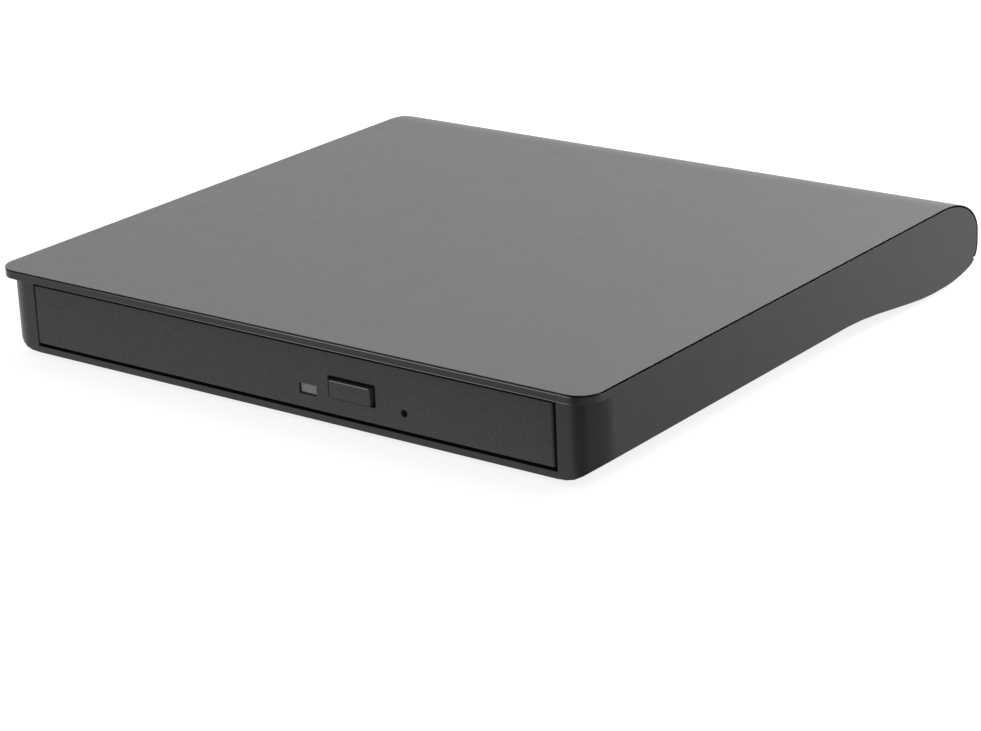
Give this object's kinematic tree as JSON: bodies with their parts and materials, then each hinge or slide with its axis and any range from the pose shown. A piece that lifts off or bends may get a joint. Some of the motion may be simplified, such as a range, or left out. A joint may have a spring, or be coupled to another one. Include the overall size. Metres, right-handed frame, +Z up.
{
  "type": "external optical disc drive",
  "caption": "Slim external disc drive: flat satin-topped case with a rolled rear edge and a front tray with eject button, activity light and pin hole.",
  "frame": {"origin": "centre of the bounding footprint at the bottom of the feet, tray closed", "axes": "+X to the right along the front, +Y from the tray front to the rear edge, +Z up"},
  "size_m": [0.1454, 0.1422, 0.0183],
  "materials": {
    "satin_grey": "satin, very fine mottling",
    "dark_grey": "semi-gloss moulded plastic",
    "bezel_grey": "fine spark-eroded texture, matte",
    "clear_plastic": "smoky translucent",
    "black_plastic": "fine moulded texture",
    "white_plastic": "smooth acetal",
    "circuit_board": "green solder mask",
    "chip_black": "moulded epoxy",
    "sheet_steel": "zinc-coated sheet",
    "bright_steel": "polished",
    "brass": "machined",
    "rubber": "soft matte rubber"
  },
  "bodies": {
    "enclosure": {"top_plate": "satin_grey", "upper_case": "dark_grey", "lower_case": "dark_grey", "case_screw_front_left": "bright_steel", "case_screw_front_right": "bright_steel", "case_screw_rear_left": "bright_steel", "case_screw_rear_right": "bright_steel", "foot_front_left": "rubber", "foot_front_right": "rubber", "foot_rear_left": "rubber", "foot_rear_right": "rubber", "bridge_board": "circuit_board", "usb_receptacle": "bright_steel", "drive_plug": "black_plastic", "bridge_chip": "chip_black", "clock_crystal": "bright_steel", "filter_capacitor": "black_plastic", "board_screw_left": "brass", "board_screw_right": "brass", "drive_base": "sheet_steel", "drive_lid": "sheet_steel", "drive_board": "circuit_board", "drive_socket": "black_plastic", "controller_chip": "chip_black", "motor_driver_chip": "chip_black", "rail_guide_left": "white_plastic", "rail_guide_right": "white_plastic", "latch_post": "bright_steel", "ejector_pin": "white_plastic", "ejector_spring": "bright_steel", "flex_cable": "white_plastic"},
    "rail_left": {"rail_left": "white_plastic"},
    "rail_right": {"rail_right": "white_plastic"},
    "tray": {"disc_tray": "black_plastic", "bezel": "bezel_grey", "led_lens": "clear_plastic", "tray_board": "circuit_board", "activity_led": "clear_plastic", "eject_switch": "chip_black", "release_magnet": "sheet_steel", "tray_bottom_cover": "sheet_steel", "traverse_frame": "black_plastic", "guide_rod_main": "bright_steel", "guide_rod_side": "bright_steel", "sled_motor": "sheet_steel", "pickup_shield": "sheet_steel", "spindle_motor": "sheet_steel", "damper_rear": "rubber", "damper_outer": "rubber", "damper_inner": "rubber"},
    "eject_button": {"eject_button": "bezel_grey"},
    "latch_hook": {"latch_hook": "black_plastic"},
    "turntable": {"turntable": "black_plastic"},
    "disc_claw_1": {"disc_claw_1": "white_plastic"},
    "disc_claw_2": {"disc_claw_2": "white_plastic"},
    "disc_claw_3": {"disc_claw_3": "white_plastic"},
    "pickup_sled": {"pickup_sled": "sheet_steel"},
    "lens_holder": {"lens_holder": "black_plastic", "objective_lens": "clear_plastic"},
    "lead_screw": {"lead_screw": "bright_steel"}
  },
  "joints": [
    {"name": "tray_slide", "type": "slide", "parent": "enclosure", "child": "tray", "axis": [0, -1, 0], "range_m": [0, 0.126], "deforming": ["flex_cable"]},
    {"name": "rail_left_slide", "type": "slide", "parent": "enclosure", "child": "rail_left", "axis": [0, -1, 0], "range_m": [0, 0.063]},
    {"name": "rail_right_slide", "type": "slide", "parent": "enclosure", "child": "rail_right", "axis": [0, -1, 0], "range_m": [0, 0.063]},
    {"name": "eject_button_press", "type": "slide", "parent": "tray", "child": "eject_button", "axis": [0, 1, 0], "range_m": [0, 0.0005], "stiffness_N_per_m": 800, "springref_m": -0.0004},
    {"name": "latch_swing", "type": "hinge", "parent": "tray", "child": "latch_hook", "pos_m": [0.038, -0.05514, 0.0068], "axis": [0, 0, -1], "range_deg": [0, 12], "stiffness_Nm_per_rad": 0.01, "springref_deg": -5.73},
    {"name": "spindle_spin", "type": "hinge", "parent": "tray", "child": "turntable", "pos_m": [0, -0.00494, 0.01], "axis": [0, 0, 1], "continuous": true},
    {"name": "sled_slide", "type": "slide", "parent": "tray", "child": "pickup_sled", "axis": [-0.7071, -0.7071, 0], "range_m": [0, 0.035]},
    {"name": "lead_screw_spin", "type": "hinge", "parent": "tray", "child": "lead_screw", "pos_m": [-0.01372, -0.04213, 0.0076], "axis": [-0.7071, -0.7071, 0], "continuous": true},
    {"name": "lens_focus", "type": "slide", "parent": "pickup_sled", "child": "lens_holder", "axis": [0, 0, 1], "range_m": [-0.0004, 0.0004], "stiffness_N_per_m": 40},
    {"name": "disc_claw_1_slide", "type": "slide", "parent": "turntable", "child": "disc_claw_1", "axis": [0.7071, 0.7071, 0], "range_m": [0, 0.0005], "stiffness_N_per_m": 300, "springref_m": -0.0003},
    {"name": "disc_claw_2_slide", "type": "slide", "parent": "turntable", "child": "disc_claw_2", "axis": [-0.9659, 0.2588, 0], "range_m": [0, 0.0005], "stiffness_N_per_m": 300, "springref_m": -0.0003},
    {"name": "disc_claw_3_slide", "type": "slide", "parent": "turntable", "child": "disc_claw_3", "axis": [0.2588, -0.9659, 0], "range_m": [0, 0.0005], "stiffness_N_per_m": 300, "springref_m": -0.0003}
  ],
  "couplings": [
    {"joint": "rail_left_slide", "follows": "tray_slide", "ratio": 0.5},
    {"joint": "rail_right_slide", "follows": "tray_slide", "ratio": 0.5},
    {"joint": "lead_screw_spin", "follows": "sled_slide", "rad_per_m": 2094.4}
  ]
}
